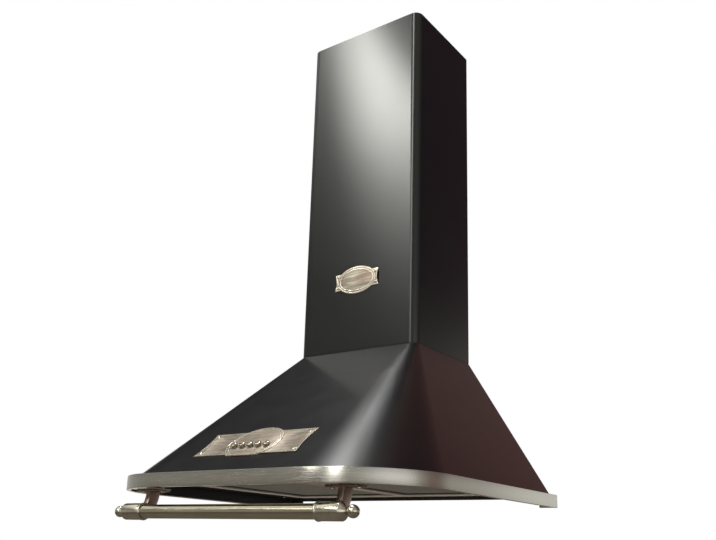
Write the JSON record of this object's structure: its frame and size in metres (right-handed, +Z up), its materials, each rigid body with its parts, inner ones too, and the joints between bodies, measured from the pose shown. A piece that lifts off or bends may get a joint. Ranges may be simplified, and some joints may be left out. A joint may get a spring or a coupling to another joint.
{
  "type": "wall mount range hood",
  "caption": "Chimney range hood for a wall: black enamelled flared canopy, steel trim band, hanging rail, control plate with push buttons, duct collar.",
  "frame": {"origin": "middle of the four wall bolts, on the wall plane behind the back panel", "axes": "+X to the right for someone facing the hood, +Y into the wall, +Z up"},
  "size_m": [0.6, 0.53, 0.9984],
  "materials": {
    "black_enamel": "gloss",
    "back_paint": "matte",
    "band_steel": "satin",
    "pan_steel": "satin",
    "rail_nickel": "satin",
    "aged_nickel": "satin",
    "bright_screw": "polished",
    "galvanised_steel": "satin",
    "motor_paint": "satin",
    "shaft_steel": "polished",
    "impeller_plastic": "matte",
    "filter_aluminium": "satin",
    "lens_glass": "frosted",
    "lamp_white": "satin",
    "dark_plastic": "matte",
    "capacitor_plastic": "satin"
  },
  "bodies": {
    "hood": {"canopy_shell": "black_enamel", "back_panel": "back_paint", "trim_band": "band_steel", "rail_tabs": "band_steel", "underside_pan": "pan_steel", "chimney_cover": "black_enamel", "cover_screws": "bright_screw", "pan_screws": "bright_screw", "collar_screws": "bright_screw", "name_plate": "aged_nickel", "name_plate_rivets": "bright_screw", "control_plate": "aged_nickel", "control_plate_screws": "bright_screw", "switch_box": "dark_plastic", "rail_tube": "rail_nickel", "rail_cap_left": "rail_nickel", "rail_cap_right": "rail_nickel", "rail_finial_left": "rail_nickel", "rail_finial_right": "rail_nickel", "rail_bracket_left": "rail_nickel", "rail_bracket_right": "rail_nickel", "rail_screws": "bright_screw", "blower_housing": "galvanised_steel", "blower_inlet_plate": "galvanised_steel", "inlet_guard": "galvanised_steel", "motor": "motor_paint", "motor_screws": "bright_screw", "duct_collar": "galvanised_steel", "flap_rod": "shaft_steel", "lamp_housing_left": "bright_screw", "lamp_housing_right": "bright_screw", "lamp_lens_left": "lens_glass", "lamp_lens_right": "lens_glass", "lamp_module_left": "lamp_white", "lamp_module_right": "lamp_white", "terminal_box": "dark_plastic", "capacitor": "capacitor_plastic", "cable_gland": "dark_plastic"},
    "button_one_body": {"button_one": "rail_nickel"},
    "button_two_body": {"button_two": "rail_nickel"},
    "button_three_body": {"button_three": "rail_nickel"},
    "button_four_body": {"button_four": "rail_nickel"},
    "button_five_body": {"button_five": "rail_nickel"},
    "inner_chimney": {"upper_chimney": "black_enamel", "chimney_bracket": "galvanised_steel", "bracket_screws": "bright_screw"},
    "fan_rotor": {"impeller": "impeller_plastic", "motor_shaft": "shaft_steel"},
    "flap_front_body": {"flap_front": "dark_plastic"},
    "flap_rear_body": {"flap_rear": "dark_plastic"},
    "filter_left": {"filter_frame_left": "filter_aluminium", "filter_mesh_left": "filter_aluminium"},
    "filter_right": {"filter_frame_right": "filter_aluminium", "filter_mesh_right": "filter_aluminium"},
    "latch_left": {"filter_latch_left": "dark_plastic"},
    "latch_right": {"filter_latch_right": "dark_plastic"}
  },
  "joints": [
    {"name": "button_one_push", "type": "slide", "parent": "hood", "child": "button_one_body", "axis": [0, 0.6217, -0.7833], "range_m": [0, 0.002], "stiffness_N_per_m": 300, "springref_m": -0.002},
    {"name": "button_two_push", "type": "slide", "parent": "hood", "child": "button_two_body", "axis": [0, 0.6217, -0.7833], "range_m": [0, 0.002], "stiffness_N_per_m": 300, "springref_m": -0.002},
    {"name": "button_three_push", "type": "slide", "parent": "hood", "child": "button_three_body", "axis": [0, 0.6217, -0.7833], "range_m": [0, 0.002], "stiffness_N_per_m": 300, "springref_m": -0.002},
    {"name": "button_four_push", "type": "slide", "parent": "hood", "child": "button_four_body", "axis": [0, 0.6217, -0.7833], "range_m": [0, 0.002], "stiffness_N_per_m": 300, "springref_m": -0.002},
    {"name": "button_five_push", "type": "slide", "parent": "hood", "child": "button_five_body", "axis": [0, 0.6217, -0.7833], "range_m": [0, 0.002], "stiffness_N_per_m": 300, "springref_m": -0.002},
    {"name": "inner_chimney_lift", "type": "slide", "parent": "hood", "child": "inner_chimney", "axis": [0, 0, 1], "range_m": [0, 0.3]},
    {"name": "fan_spin", "type": "hinge", "parent": "hood", "child": "fan_rotor", "pos_m": [0, -0.09, 0.005], "axis": [1, 0, 0], "continuous": true},
    {"name": "flap_front_swing", "type": "hinge", "parent": "hood", "child": "flap_front_body", "pos_m": [0, -0.105, 0.1457], "axis": [-1, 0, 0], "range_deg": [0, 75]},
    {"name": "flap_rear_swing", "type": "hinge", "parent": "hood", "child": "flap_rear_body", "pos_m": [0, -0.105, 0.1457], "axis": [1, 0, 0], "range_deg": [0, 75]},
    {"name": "filter_left_tilt", "type": "hinge", "parent": "hood", "child": "filter_left", "pos_m": [-0.124, -0.041, -0.1185], "axis": [1, 0, 0], "range_deg": [0, 60]},
    {"name": "latch_left_slide", "type": "slide", "parent": "filter_left", "child": "latch_left", "axis": [0, 1, 0], "range_m": [0, 0.004], "stiffness_N_per_m": 400, "springref_m": -0.002},
    {"name": "filter_right_tilt", "type": "hinge", "parent": "hood", "child": "filter_right", "pos_m": [0.124, -0.041, -0.1185], "axis": [1, 0, 0], "range_deg": [0, 60]},
    {"name": "latch_right_slide", "type": "slide", "parent": "filter_right", "child": "latch_right", "axis": [0, 1, 0], "range_m": [0, 0.004], "stiffness_N_per_m": 400, "springref_m": -0.002}
  ]
}
